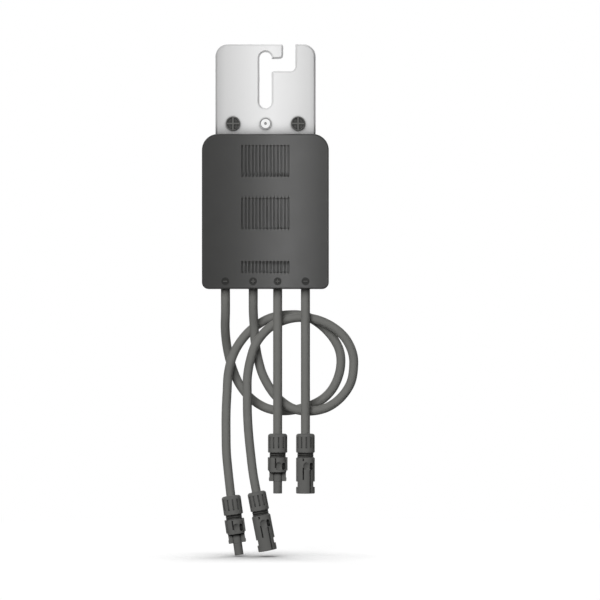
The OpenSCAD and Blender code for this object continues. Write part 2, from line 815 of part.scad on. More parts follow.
module probe_housing() {
    color(connector_grey) difference() {
        union() {
            plug_shank(probe_body_d, probe_body_end);
            side_fins();
            span(probe_body_end - cut, finger_end, probe_root_d);
            span(finger_end - cut, plug_len, probe_d);
            latch_finger();
            mirror([1, 0, 0]) latch_finger();
        }
        span(seal_end - cut, plug_len + cut, contact_d + 2 * fit_gap);
        slit(probe_body_d, body_start + slit_inset, body_start + probe_slit_len);
    }
}

module shell_housing() {
    window_low = plug_len - window_rise;
    window_top = window_low - window_len;
    side = shell_body_d / 2 - window_depth;
    color(connector_grey) difference() {
        plug_shank(shell_body_d, plug_len);
        span(mating_start, plug_len + cut, 2 * mating_r);
        for (turn = [0, 180]) rotate([0, 0, turn]) {
            translate([side, -shell_body_d, -window_low]) cube([shell_body_d, 2 * shell_body_d, window_len]);
            translate([0, -finger_w / 2 - loose_gap, -plug_len - cut])
                cube([side, finger_w + 2 * loose_gap, plug_len - window_top + cut]);
        }
        slit(shell_body_d, body_start + slit_inset, body_start + short_slit_len);
        slit(shell_body_d, window_top - long_slit_gap - long_slit_len, window_top - long_slit_gap);
        slit(shell_body_d, dimple_station + pocket_len / 2, plug_len + cut, rail_x, rail_w, rail_depth);
    }
}

// Crimped end of a contact, up to a station on the connector
module contact_barrel(to) {
    crimp_len = 8;
    waist_len = 3;
    waist_from = seal_end + crimp_len;
    waist_to = waist_from + waist_len;
    waist_cut = 0.6;
    waist_d = contact_d - 2 * waist_cut;
    span(seal_end, waist_from, contact_d);
    span(waist_from, waist_to, waist_d);
    span(waist_to, to, contact_d);
}

module socket_contact() {
    tip = plug_len - contact_recess;
    color(tin) difference() {
        contact_barrel(tip);
        span(tip - socket_depth, tip + cut, pin_d + 2 * fit_gap);
    }
}

module pin_contact() {
    tip = plug_len - pin_recess;
    color(tin) union() {
        contact_barrel(mating_start);
        span(mating_start - cut, tip - pin_d / 2, pin_d);
        translate([0, 0, pin_d / 2 - tip]) sphere(d = pin_d);
    }
}

// Placing of the four leads and their connectors
module on_output_negative() on_lead(output_negative_route, output_negative_tilt) children();
module on_output_positive() on_lead(output_positive_route, output_positive_tilt) children();
module on_input_positive() on_lead(input_positive_route, 0) children();
module on_input_negative() on_lead(input_negative_route, 0) children();

front_housing();
back_cover();
housing_gasket();
cover_screws();
mounting_bracket();
bracket_rivets();
earth_rivet();
circuit_board();
board_screws();
inductor_core();
inductor_winding();
input_capacitor();
output_capacitor();
power_transistors();
bypass_diode();
controller_chip();
lead_terminals();
grommet(output_negative_route);  // output_negative_grommet
grommet(output_positive_route);  // output_positive_grommet
grommet(input_positive_route);  // input_positive_grommet
grommet(input_negative_route);  // input_negative_grommet
lead(output_negative_route, output_negative_tilt);  // output_negative_lead
lead(output_positive_route, output_positive_tilt);  // output_positive_lead
lead(input_positive_route, 0);  // input_positive_lead
lead(input_negative_route, 0);  // input_negative_lead
on_output_negative() cap_nut(probe_nut_d);  // output_negative_cap_nut
on_output_negative() cable_seal();  // output_negative_cable_seal
on_output_negative() probe_housing();  // output_negative_probe_housing
on_output_negative() socket_contact();  // output_negative_socket_contact
on_output_positive() cap_nut(shell_nut_d);  // output_positive_cap_nut
on_output_positive() cable_seal();  // output_positive_cable_seal
on_output_positive() shell_housing();  // output_positive_shell_housing
on_output_positive() pin_contact();  // output_positive_pin_contact
on_input_positive() cap_nut(probe_nut_d);  // input_positive_cap_nut
on_input_positive() cable_seal();  // input_positive_cable_seal
on_input_positive() probe_housing();  // input_positive_probe_housing
on_input_positive() socket_contact();  // input_positive_socket_contact
on_input_negative() cap_nut(shell_nut_d);  // input_negative_cap_nut
on_input_negative() cable_seal();  // input_negative_cable_seal
on_input_negative() shell_housing();  // input_negative_shell_housing
on_input_negative() pin_contact();  // input_negative_pin_contact
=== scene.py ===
"""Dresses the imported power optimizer: housing, bracket, leads and connectors, and the stage round them."""

import json
import logging
import math
from dataclasses import dataclass
from enum import Enum
from functools import cached_property
from typing import Any, Callable, Optional, Sequence, Union

import bmesh
import bpy
from bmesh.types import BMesh
from bpy.types import Material, Mesh, NodeTree, Object
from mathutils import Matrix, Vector


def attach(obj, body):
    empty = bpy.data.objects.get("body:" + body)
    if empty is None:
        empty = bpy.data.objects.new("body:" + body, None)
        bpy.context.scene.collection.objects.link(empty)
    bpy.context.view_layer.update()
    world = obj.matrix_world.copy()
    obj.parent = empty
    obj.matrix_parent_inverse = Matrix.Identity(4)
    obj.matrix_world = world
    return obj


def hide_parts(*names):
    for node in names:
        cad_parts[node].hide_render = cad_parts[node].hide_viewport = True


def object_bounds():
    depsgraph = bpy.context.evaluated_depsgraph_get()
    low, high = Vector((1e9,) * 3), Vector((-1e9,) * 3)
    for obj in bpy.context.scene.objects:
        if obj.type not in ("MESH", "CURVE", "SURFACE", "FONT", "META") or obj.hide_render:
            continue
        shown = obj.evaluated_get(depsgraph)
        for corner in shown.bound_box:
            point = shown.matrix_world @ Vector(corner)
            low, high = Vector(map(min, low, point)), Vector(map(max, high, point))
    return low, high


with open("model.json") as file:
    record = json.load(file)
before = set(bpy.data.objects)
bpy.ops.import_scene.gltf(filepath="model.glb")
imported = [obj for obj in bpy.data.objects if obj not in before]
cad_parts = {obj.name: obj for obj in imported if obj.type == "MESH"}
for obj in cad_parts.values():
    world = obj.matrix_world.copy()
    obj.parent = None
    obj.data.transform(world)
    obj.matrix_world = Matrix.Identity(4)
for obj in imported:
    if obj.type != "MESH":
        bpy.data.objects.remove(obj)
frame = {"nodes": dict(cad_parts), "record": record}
cad_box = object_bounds()

log = logging.getLogger("scene")
MM = 0.001
WHITE = (1.0, 1.0, 1.0)
# How far the middle point of a rounded edge lies from both its sides, as a share of its radius.
BEND = 0.3
SHADE_RAYS = 8
THREAD_POINTS, CREST_SIDES, NECK_SIDES = 48, 10, 64

Colour = tuple[float, float, float]
Point = tuple[float, float, float]
Operand = Union["Value", float]
Ring = list[bmesh.types.BMVert]


def tint(level: str, factor: float = 1.0) -> Colour:
    """A hex colour as it is seen on a screen, as linear parts times a factor and held at white."""
    parts = [int(level[i:i + 2], 16) / 255 for i in (1, 3, 5)]
    linear = (p / 12.92 if p <= 0.04045 else ((p + 0.055) / 1.055) ** 2.4 for p in parts)
    return tuple(min(1.0, part * factor) for part in linear)


def operator(operation: str, swapped: bool = False) -> Callable[["Value", Operand], "Value"]:
    """Makes an operator of Value that adds one Math node, or with swapped its reflected form."""
    def method(self: "Value", other: Operand) -> "Value":
        """Adds the Math node and returns its result."""
        first, second = (other, self) if swapped else (self, other)
        return self.graph.node("ShaderNodeMath", {"operation": operation}, {0: first, 1: second})
    return method


@dataclass(frozen=True, eq=False)
class Value:
    """A node's output socket that takes part in Python expressions."""

    graph: "Graph"
    socket: bpy.types.NodeSocket

    __add__, __radd__ = operator("ADD"), operator("ADD", swapped=True)
    __sub__, __rsub__ = operator("SUBTRACT"), operator("SUBTRACT", swapped=True)
    __mul__, __rmul__ = operator("MULTIPLY"), operator("MULTIPLY", swapped=True)
    __pow__ = operator("POWER")

    def clamped(self) -> "Value":
        """The value held between 0 and 1."""
        return self.graph.node("ShaderNodeClamp", {}, {"Value": self})

    def stepped(self, low: float, high: float) -> "Value":
        """A smooth step from 0 at low to 1 at high."""
        return self.graph.node("ShaderNodeMapRange", {"interpolation_type": "SMOOTHSTEP"},
                               {"Value": self, "From Min": low, "From Max": high})


class Graph:
    """The node tree of a material, of the world or of a Geometry Nodes group."""

    def __init__(self, tree: NodeTree, end: str) -> None:
        """Empties a tree and gives it its output node."""
        self.tree = tree
        self.tree.nodes.clear()
        self.end = tree.nodes.new(end)
        self.given: dict[str, Value] = {}

    @classmethod
    def geometry(cls, name: str, inputs: dict[str, str]) -> "Graph":
        """Starts a Geometry Nodes group.

        Args:
            name: name of the group.
            inputs: name of each input beside the geometry, to its socket type.

        Returns:
            The graph, with its inputs in given.
        """
        tree = bpy.data.node_groups.new(name, "GeometryNodeTree")
        inputs = {"Geometry": "Geometry", **inputs}
        for key, kind in inputs.items():
            tree.interface.new_socket(key, in_out="INPUT", socket_type="NodeSocket" + kind)
        tree.interface.new_socket("Geometry", in_out="OUTPUT", socket_type="NodeSocketGeometry")
        made = cls(tree, "NodeGroupOutput")
        source = tree.nodes.new("NodeGroupInput")
        made.given = {key: Value(made, source.outputs[key]) for key in inputs}
        return made

    def node(self, kind: str, settings: dict, inputs: dict, output: Union[int, str] = 0) -> Value:
        """Adds one node.

        Args:
            kind: Blender's type name of the node.
            settings: the node's own properties, set first; stops is a ramp's list of place and colour.
            inputs: socket name or number to a number, colour, vector, linked value or list of linked values.
            output: number or name of the output socket that is wanted.

        Returns:
            The wanted output.
        """
        made = self.tree.nodes.new(kind)
        for key, value in settings.items():
            if key == "stops":
                self._set_stops(made.color_ramp, value)
            else:
                setattr(made, key, value)
        for key, value in inputs.items():
            socket = made.inputs[key]
            if isinstance(value, (Value, list)):
                for link in value if isinstance(value, list) else [value]:
                    self.tree.links.new(link.socket, socket)
            elif isinstance(value, tuple) and socket.type == "RGBA":
                socket.default_value = (*value, 1.0)
            else:
                socket.default_value = value
        return Value(self, made.outputs[output])

    @staticmethod
    def _set_stops(ramp: bpy.types.ColorRamp, stops: Sequence[tuple[float, Colour]]) -> None:
        """Gives a ramp its stops."""
        while len(ramp.elements) < len(stops):
            ramp.elements.new(1.0)
        for element, (place, colour) in zip(ramp.elements, stops):
            element.position = place
            element.color = (*colour, 1.0)

    def axis(self, letter: str) -> Value:
        """One object coordinate in metres, by its letter."""
        return self.node("ShaderNodeSeparateXYZ", {}, {0: self._place()}, "xyz".index(letter))

    def _place(self) -> Value:
        """Object coordinates, in metres."""
        return self.node("ShaderNodeTexCoord", {}, {}, "Object")

    def noise(self, pitch: float, detail: float, stretch: Point = (1, 1, 1)) -> Value:
        """Noise from 0 to 1 whose features are about pitch metres wide."""
        scale = tuple(s / pitch for s in stretch)
        place = self.node("ShaderNodeVectorMath", {"operation": "MULTIPLY"}, {0: self._place(), 1: scale})
        return self.node("ShaderNodeTexNoise", {}, {"Vector": place, "Scale": 1.0, "Detail": detail})

    def mixed(self, share: Operand, first: Union[Value, Colour], second: Union[Value, Colour]) -> Value:
        """Mix of two colours."""
        return self.node("ShaderNodeMix", {"data_type": "RGBA"}, {0: share, 6: first, 7: second}, 2)

    def openness(self, reach: float, local: bool = True) -> Value:
        """How open a point lies to its own or all walls in reach, from 0 in a groove to 1 on a free face."""
        return self.node("ShaderNodeAmbientOcclusion", {"samples": SHADE_RAYS, "only_local": local},
                         {"Distance": reach}, "AO")

    def seen(self) -> Value:
        """1 where a ray comes from the camera, a mirror or a glass, and 0 where it carries fill light."""
        camera, glossy, through = (self.node("ShaderNodeLightPath", {}, {}, ray) for ray in
                                   ("Is Camera Ray", "Is Glossy Ray", "Is Transmission Ray"))
        return (camera + glossy + through).clamped()

    def bump(self, height: Value, distance: float) -> Value:
        """Normal that follows a height, in metres."""
        return self.node("ShaderNodeBump", {}, {"Height": height, "Distance": distance})

    def finish(self, result: Value) -> NodeTree:
        """Links the result to the output and returns the tree."""
        self.tree.links.new(result.socket, self.end.inputs[0])
        return self.tree


def new_material(name: str) -> tuple[Material, Graph]:
    """Makes a material, and returns it with its empty graph."""
    made = bpy.data.materials.new(name)
    made.use_nodes = True
    return made, Graph(made.node_tree, "ShaderNodeOutputMaterial")


@dataclass(frozen=True)
class Surface:
    """What finishes share: a screen colour, mottled by clouds and by a fine pattern that is also a relief."""

    colour: str
    roughness: float = 0.42
    metallic: float = 0.0
    specular: float = 0.2
    mottle: float = 0.1
    cloud_pitch: float = 14 * MM
    cloud_detail: float = 4.0
    cloud_share: float = 0.75
    fine_pitch: float = 0.35 * MM
    fine_detail: float = 2.0
    fine_stretch: Point = (1, 1, 1)
    relief: float = 0.012 * MM
    rough_drop: float = 0.06
    rough_cloud: float = 0.07
    rough_fine: float = 0.05

    def toned(self, g: Graph, tone: Value) -> Value:
        """Changes the mottled colour, in a finish that has more to show."""
        return tone

    def material(self, name: str) -> Material:
        """Builds the finish as a node material of a name."""
        made, g = new_material(name)
        cloud = g.noise(self.cloud_pitch, self.cloud_detail)
        fine = g.noise(self.fine_pitch, self.fine_detail, self.fine_stretch)
        mottling = (cloud * self.cloud_share + fine * (1 - self.cloud_share)).clamped()
        tone = g.mixed(mottling, tint(self.colour, 1 - self.mottle), tint(self.colour, 1 + self.mottle))
        rough = (self.roughness - self.rough_drop) + cloud * self.rough_cloud + fine * self.rough_fine
        g.finish(g.node("ShaderNodeBsdfPrincipled", {}, {
            "Base Color": self.toned(g, tone), "Roughness": rough, "Metallic": self.metallic,
            "Specular IOR Level": self.specular, "Normal": g.bump(fine, self.relief)}))
        return made


@dataclass(frozen=True)
class Moulded(Surface):
    """Moulded plastic or rubber with a fine grain and painted shade in its recesses."""

    # Share of the colour that is left where shade is painted into the recesses, and how far that painted
    # shade reaches.
    grime: float = 0.35
    grime_reach: float = 1.6 * MM
    clear_from: float = 0.3
    clear_to: float = 0.85
    sunk: str = ""

    def toned(self, g: Graph, tone: Value) -> Value:
        """Paints shade into the recesses, by a layer of the mesh or by how open they lie."""
        # Painted shade: the less open a point lies, the darker its colour.
        if self.sunk:
            clear = 1.0 - g.node("ShaderNodeAttribute", {"attribute_name": self.sunk}, {}, "Fac")
        else:
            clear = g.openness(self.grime_reach).stepped(self.clear_from, self.clear_to)
        return g.mixed(clear, tint(self.colour, self.grime), tone)


@dataclass(frozen=True)
class Metal(Surface):
    """Metal with a satin grain along one direction, painted sheen bands across it and painted shade along its
    joints.
    """

    roughness: float = 0.34
    metallic: float = 1.0
    specular: float = 0.5
    mottle: float = 0.05
    cloud_pitch: float = 22 * MM
    cloud_detail: float = 3.0
    cloud_share: float = 0.6
    fine_pitch: float = 0.25 * MM
    fine_stretch: Point = (1, 1, 0.08)
    relief: float = 0.004 * MM
    rough_drop: float = 0.08
    rough_cloud: float = 0.08
    rough_fine: float = 0.08
    bands: tuple[tuple[float, float], ...] = ()
    joint: float = 0.0
    joint_reach: float = 9 * MM
    joint_from: float = 0.35
    joint_to: float = 0.95

    def toned(self, g: Graph, tone: Value) -> Value:
        """Lays the painted sheen bands over the colour, given as places in x and levels, and paints shade
        along the joints.
        """
        # Painted sheen across x, which stands in for the light that a flat plate reflects.
        if self.bands:
            first, last = self.bands[0][0], self.bands[-1][0]
            share = (g.axis("x") - first) * (1 / (last - first))
            stops = [((x - first) / (last - first), (level,) * 3) for x, level in self.bands]
            sheen_band = g.node("ShaderNodeValToRGB", {"stops": stops}, {0: share})
            tone = g.node("ShaderNodeVectorMath", {"operation": "MULTIPLY"}, {0: tone, 1: sheen_band})
        # Painted shade along joints: the less open a point lies to the other parts, the darker its colour.
        if self.joint:
            clear = g.openness(self.joint_reach, local=False).stepped(self.joint_from, self.joint_to)
            shade = g.node("ShaderNodeVectorMath", {"operation": "SCALE"}, {0: tone, "Scale": 1 - self.joint})
            tone = g.mixed(clear, shade, tone)
        return tone


class Finish(Enum):
    """The finishes: one for each material slot of the record, and those of small parts of a piece."""

    # The housing's grooves get painted shade from the mesh's sunk layer: their floors go down to 0.6 of the
    # colour.
    HOUSING_PLASTIC = Moulded("#2f2f2e", 0.33, grime=0.6, sunk="sunk")
    CONNECTOR_PLASTIC = Moulded("#6a6a68", specular=0.015, grime=0.12,
                                grime_reach=3.5 * MM, clear_from=0.55, clear_to=1.0)
    # A dark plastic on the neck's core, between the thread's crests, as painted shade in the thread's roots.
    NECK_PLASTIC = Moulded("#242423", specular=0.04)
    THREAD_PLASTIC = Moulded("#4c4c4a", specular=0.04)
    RIVET_PLASTIC = Moulded("#646462", 0.4, specular=0.05, grime=0.2,
                            grime_reach=5 * MM, clear_from=0.5, clear_to=1.0)
    LEAD_JACKET = Moulded("#797976", 0.46, fine_pitch=0.6 * MM, specular=0.02)
    SEAL_RUBBER = Moulded("#2a2a2a", 0.6, specular=0.1)
    # The bracket's painted sheen is lightest near the middle of the plate and darker towards both side edges.
    # Its painted shade reaches 14 mm from its joints.
    BRACKET_METAL = Metal("#e6e6e6", 0.55, metallic=0.1, specular=0.2,
                          joint=0.7, joint_reach=14 * MM,
                          bands=((-45.2 * MM, 0.58), (-36 * MM, 0.74), (-12 * MM, 0.92), (6 * MM, 1.0),
                                 (26 * MM, 0.9), (40 * MM, 0.78), (45.2 * MM, 0.6)))
    # The earth rivet gets painted shade within 2.5 mm of its rim and in its grooves.
    RIVET_METAL = Metal("#e8e8e8", 0.5, metallic=0.1, specular=0.2,
                        joint=0.8, joint_reach=2.5 * MM)
    # A darker copy of the rivet metal that is painted on the earth rivet's ring groove and centre mark as
    # shade.
    RECESS_METAL = Metal("#8e8e8e", 0.5, metallic=0.1, specular=0.2)
    SCREW_STEEL = Metal("#c0c0c4")
    CONTACT_METAL = Metal("#c6c6ca")
    BOARD_LAMINATE = Moulded("#2f5d3a", 0.35)
    CORE_IRON = Moulded("#3a3a3d", 0.55)
    WINDING_COPPER = Metal("#b87333", 0.3)
    PACKAGE_EPOXY = Moulded("#232325", 0.4)
    MARK_DARK = Moulded("#232322", specular=0.1)
    MARK_LIGHT = Moulded("#4e4e4c", 0.45, specular=0.1)

    def material(self) -> Material:
        """The finish's material, made once."""
        name = "look_" + self.name.lower()
        return bpy.data.materials.get(name) or self.value.material(name)


def having(made: Any, **settings: Any) -> Any:
    """Sets properties of an object, of its data or of a modifier, and returns it."""
    for key, value in settings.items():
        setattr(made, key, value)
    return made


def linked(name: str, data: Any) -> Object:
    """Makes an object from its data and links it to the scene."""
    made = bpy.data.objects.new(name, data)
    bpy.context.scene.collection.objects.link(made)
    return made


def new_piece(name: str, mesh: Mesh, slot: str, *finishes: Finish, crease: float = 40) -> Object:
    """Puts a mesh into the scene as a piece that rides on the part's one body.

    Args:
        name: name of the piece.
        mesh: its mesh, already in place.
        slot: the record's material slot of the piece; not used.
        finishes: materials in the order of the mesh's material numbers.
        crease: angle in degrees over which its edges stay sharp.

    Returns:
        The new object.
    """
    made = linked(name, mesh)
    numbers = [face.material_index for face in mesh.polygons]
    mesh.materials.clear()
    for finish in finishes:
        mesh.materials.append(finish.material())
    mesh.polygons.foreach_set("material_index", numbers)
    mesh.polygons.foreach_set("use_smooth", [True] * len(numbers))
    mesh.set_sharp_from_angle(angle=math.radians(crease))
    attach(made, "root")
    log.info("%s: %d faces", name, len(mesh.polygons))
    return made


def as_mesh(name: str, shape: BMesh) -> Mesh:
    """Turns a closed shape into a mesh with its faces outward, and frees it."""
    bmesh.ops.recalc_face_normals(shape, faces=shape.faces)
    mesh = bpy.data.meshes.new(name)
    shape.to_mesh(mesh)
    shape.free()
    return mesh


def join_rings(shape: BMesh, low: Ring, high: Ring) -> list[bmesh.types.BMFace]:
    """Makes the faces between two closed rings of as many points."""
    following = [(i, (i + 1) % len(low)) for i in range(len(low))]
    return [shape.faces.new((low[i], low[j], high[j], high[i])) for i, j in following]


def circle(sides: int) -> list[tuple[float, float]]:
    """Points of a circle with a radius of 1."""
    turns = [2 * math.pi * i / sides for i in range(sides)]
    return [(math.cos(turn), math.sin(turn)) for turn in turns]


def add_nodes(made: Object, label: str, tree: NodeTree, values: dict[str, Any]) -> None:
    """Adds a Geometry Nodes modifier to an object and sets its named inputs."""
    modifier = made.modifiers.new(label, "NODES")
    modifier.node_group = tree
    for socket in tree.interface.items_tree:
        if socket.in_out == "INPUT" and socket.name in values:
            modifier[socket.identifier] = values[socket.name]


def baked(made: Object) -> Mesh:
    """Turns a linked object with modifiers into a plain mesh and removes the object."""
    bpy.context.view_layer.update()
    graph = bpy.context.evaluated_depsgraph_get()
    mesh = bpy.data.meshes.new_from_object(made.evaluated_get(graph))
    bpy.data.objects.remove(made)
    return mesh


@dataclass
class Softener:
    """Gives CAD nodes smooth shading and small softened edges without a change to their meshes."""

    crease: float = math.radians(32)
    flat: float = math.radians(0.4)
    weld: float = 0.002 * MM
    steps: int = 3

    def _over_crease(self, g: Graph, limit: Operand) -> Value:
        """Whether an edge is sharper than a limit."""
        angle = g.node("GeometryNodeInputMeshEdgeAngle", {}, {})
        return g.node("FunctionNodeCompare", {"operation": "GREATER_THAN"}, {0: angle, 1: limit})

    @cached_property
    def _weld_tree(self) -> NodeTree:
        """The node tree that welds a mesh and sets its creases."""
        g = Graph.geometry("soften", {"Crease": "Float"})
        plain = g.node("GeometryNodeRemoveAttribute", {},
                       {"Geometry": g.given["Geometry"], "Name": "custom_normal"})
        welded = g.node("GeometryNodeMergeByDistance", {}, {"Geometry": plain, "Distance": self.weld})
        smooth = g.node("GeometryNodeSetShadeSmooth", {}, {"Geometry": welded})
        return g.finish(g.node("GeometryNodeSetShadeSmooth", {"domain": "EDGE"}, {
            "Geometry": smooth, "Selection": self._over_crease(g, g.given["Crease"]), "Shade Smooth": False}))

    @cached_property
    def _front_tree(self) -> NodeTree:
        """The node tree that marks the sharp edges in front of a plane for the bevel."""
        g = Graph.geometry("mark_front", {"Plane": "Float"})
        depth = g.node("ShaderNodeSeparateXYZ", {}, {0: g.node("GeometryNodeInputPosition", {}, {})}, "Y")
        front = g.node("FunctionNodeCompare", {"operation": "LESS_THAN"}, {0: depth, 1: g.given["Plane"]})
        both = g.node("FunctionNodeBooleanMath", {"operation": "AND"},
                      {0: front, 1: self._over_crease(g, self.crease)})
        return g.finish(g.node("GeometryNodeStoreNamedAttribute", {"data_type": "FLOAT", "domain": "EDGE"}, {
            "Geometry": g.given["Geometry"], "Selection": both, "Name": "bevel_weight_edge", "Value": 1.0}))

    def apply(self, node: str, finish: Finish, edge: float = 0.0, plane: Optional[float] = None) -> None:
        """Softens and dresses one CAD node.

        Args:
            node: name of the node.
            finish: its finish.
            edge: width of the softened edges in metres, or 0 for none.
            plane: place in y of a plane, where only the edges in front of it are softened, by a flat chamfer.
        """
        made = frame["nodes"][node]
        add_nodes(made, "soften", self._weld_tree, {"Crease": self.crease})
        if edge:
            having(made.modifiers.new("flat", "DECIMATE"), decimate_type="DISSOLVE", angle_limit=self.flat)
            kind = {"limit_method": "ANGLE", "angle_limit": self.crease, "segments": self.steps}
            if plane is not None:
                add_nodes(made, "front", self._front_tree, {"Plane": plane})
                kind = {"limit_method": "WEIGHT", "loop_slide": False, "segments": 1, "mark_sharp": True}
            having(made.modifiers.new("edge", "BEVEL"), width=edge, use_clamp_overlap=False, **kind)
            having(made.modifiers.new("normals", "WEIGHTED_NORMAL"), keep_sharp=True)
        for place in made.material_slots:
            place.material = finish.material()
        log.info("%s: CAD node in %s", node, finish.name.lower())


@dataclass
class Housing:
    """The housing's outer shell, with its crowned face and three fields of grooves."""

    width: float = 114 * MM
    top: float = -69.1 * MM
    height: float = 139.3 * MM
    depth: float = 24 * MM
    crown: float = 4 * MM
    wall: float = 3 * MM
    top_corner: float = 14.5 * MM
    bottom_corner: float = 6 * MM
    edge: float = 1.2 * MM
    back_edge: float = 0.5 * MM
    groove_count: int = 14
    groove_pitch: float = 3.2 * MM
    groove_width: float = 1.3 * MM
    groove_depth: float = 0.8 * MM
    lip: float = 0.12 * MM
    flank: float = 0.34 * MM
    flank_lines: tuple[float, float] = (0.11 * MM, 0.22 * MM)
    fields: tuple[tuple[float, float], ...] = (
        (10.2 * MM, 28.4 * MM), (57.4 * MM, 28.1 * MM), (114.2 * MM, 10.6 * MM))
    hole_places: tuple[float, ...] = (-36 * MM, -11 * MM, 11 * MM, 36 * MM)
    hole_depth: float = -12 * MM
    hole_radius: float = 6.02 * MM
    hole_sides: int = 48
    calm_width: float = 23 * MM
    margin_steps: int = 12
    level_steps: int = 24
    bottom_steps: int = 6
    top_steps: int = 14
    edge_steps: int = 8
    same: float = 0.001 * MM
    weld: float = 0.0001 * MM
    groove_layer: str = "sunk"

    @property
    def bottom(self) -> float:
        """Height of the housing's lower end."""
        return self.top - self.height

    def crown_y(self, x: float) -> float:
        """Depth of the crowned face at x, without grooves."""
        half = self.width / 2
        radius = (half ** 2 + self.crown ** 2) / (2 * self.crown)
        return -self.depth - self.crown + radius - math.sqrt(radius ** 2 - min(abs(x), half) ** 2)

    def surface_y(self, x: float, z: float) -> float:
        """Depth of the shell's front at a point, with the rounding along its lower edge."""
        out = max(self.bottom + self.edge - z, 0.0) / self.edge
        face = self.crown_y(x)
        return face + (self.edge - self.depth - face) * (1 - math.sqrt(max(0.0, 1 - min(out, 1.0) ** 2)))

    def groove(self, x: float, z: float) -> float:
        """Depth of the grooves at a point of the face."""
        half = self.groove_width / 2
        place = x / self.groove_pitch + (self.groove_count - 1) / 2
        number = min(max(round(place), 0), self.groove_count - 1)
        aside = (place - number) * self.groove_pitch
        deepest = 0.0
        for drop, length in self.fields:
            high = self.top - drop - half
            low = self.top - drop - length + half
            beyond = max(z - high, low - z, 0.0)
            inside = half - math.hypot(aside, beyond)
            t = min(max((inside + self.lip) / (self.lip + self.flank), 0.0), 1.0)
            deepest = max(deepest, self.groove_depth * t * t * (3 - 2 * t))
        return deepest

    @staticmethod
    def _tidied(place: float) -> float:
        """A place rounded, so that equal mesh lines fall together."""
        return round(place, 7)

    def _columns(self) -> list[float]:
        """Places of the face's upright mesh lines, for a full width."""
        half = self.groove_width / 2
        offsets = [half + self.lip, half, *(half - line for line in self.flank_lines), half - self.flank, 0.0]
        lines = set()
        for i in range(self.groove_count):
            centre = (i - (self.groove_count - 1) / 2) * self.groove_pitch
            lines.update(self._tidied(centre + side * o) for o in offsets for side in (-1, 1))
        inner = max(lines) + self.lip
        outer = self.width / 2 - self.edge
        for i in range(self.margin_steps + 1):
            x = inner + (outer - inner) * i / self.margin_steps
            lines.update((self._tidied(x), self._tidied(-x)))
        return sorted(lines)

    def _rows(self) -> list[tuple[float, float, Vector]]:
        """The face's level mesh lines, from below: height, half width and outward direction at the end."""
        low, high = self.bottom + self.edge, self.top - self.edge
        outer = self.width / 2 - self.edge
        low_corner, high_corner = self.bottom_corner - self.edge, self.top_corner - self.edge
        rows = []
        for corner, edge_z, up, steps in ((low_corner, low, -1, self.bottom_steps),
                                          (high_corner, high, 1, self.top_steps)):
            for i in range(steps + 1):
                turn = math.pi / 2 * i / steps
                rows.append((edge_z - up * corner * (1 - math.cos(turn)),
                             outer - corner * (1 - math.sin(turn)),
                             Vector((math.sin(turn), 0, up * math.cos(turn)))))
        plain_low, plain_high = low + low_corner, high - high_corner
        heights = {self._tidied(plain_low + (plain_high - plain_low) * i / self.level_steps)
                   for i in range(1, self.level_steps)}
        for drop, length in self.fields:
            for o in (-self.lip, 0.0, *self.flank_lines, self.flank, self.groove_width / 2):
                ends = (self.top - drop - o, self.top - drop - length + o)
                heights.update(self._tidied(end) for end in ends)
        for z in heights:
            if plain_low + self.same < z < plain_high - self.same:
                rows.append((z, outer, Vector((1, 0, 0))))
            elif z >= plain_high - self.same:
                turn = math.asin(min(1.0, 1 - (high - z) / high_corner))
                rows.append((z, outer - high_corner * (1 - math.cos(turn)),
                             Vector((math.cos(turn), 0, math.sin(turn)))))
        return sorted(rows, key=lambda row: row[0])

    def _face(self, shape: BMesh) -> list[tuple[bmesh.types.BMVert, Vector]]:
        """Adds the grooved face.

        Args:
            shape: the shape that takes the face.

        Returns:
            The points of the face's rim in order, each with its outward direction.
        """
        columns, rows = self._columns(), self._rows()
        calm = max(x for x in columns if x < self.calm_width)
        outer = self.width / 2 - self.edge
        # The groove depth kept in this layer darkens the grooves in the housing's finish as painted shade.
        depths = shape.verts.layers.float.new(self.groove_layer)
        grid = []
        for z, half, _ in rows:
            line = []
            for x in columns:
                if abs(x) > calm:
                    x = math.copysign(calm + (abs(x) - calm) * (half - calm) / (outer - calm), x)
                sunk = self.groove(x, z)
                line.append(shape.verts.new((x, self.crown_y(x) + sunk, z)))
                line[-1][depths] = sunk / self.groove_depth
            grid.append(line)
        for low, high in zip(grid, grid[1:]):
            for i in range(len(columns) - 1):
                shape.faces.new((low[i], low[i + 1], high[i + 1], high[i]))
        rim = [(point, Vector((0, 0, -1))) for point in grid[0][:-1]]
        rim += [(line[-1], way) for line, (_, _, way) in zip(grid[:-1], rows)]
        rim += [(point, Vector((0, 0, 1))) for point in reversed(grid[-1][1:])]
        rim += [(line[0], Vector((-way.x, 0, way.z)))
                for line, (_, _, way) in zip(reversed(grid[1:]), reversed(rows[1:]))]
        return rim

    def _way_back(self, y: float) -> list[tuple[float, float]]:
        """The section from a rim point at depth y round to the inside, as steps outward and depths."""
        turns = [math.pi / 2 * i / self.edge_steps for i in range(1, self.edge_steps + 1)]
        front, soft, inside = self.edge - self.depth, self.back_edge, self.edge - self.wall
        over = [(self.edge * math.sin(t), y + (front - y) * (1 - math.cos(t))) for t in turns]
        return over + [(self.edge, -soft), (self.edge - BEND * soft, -BEND * soft), (self.edge - soft, 0.0),
                       (inside, 0.0), (inside, self.wall - self.depth)]

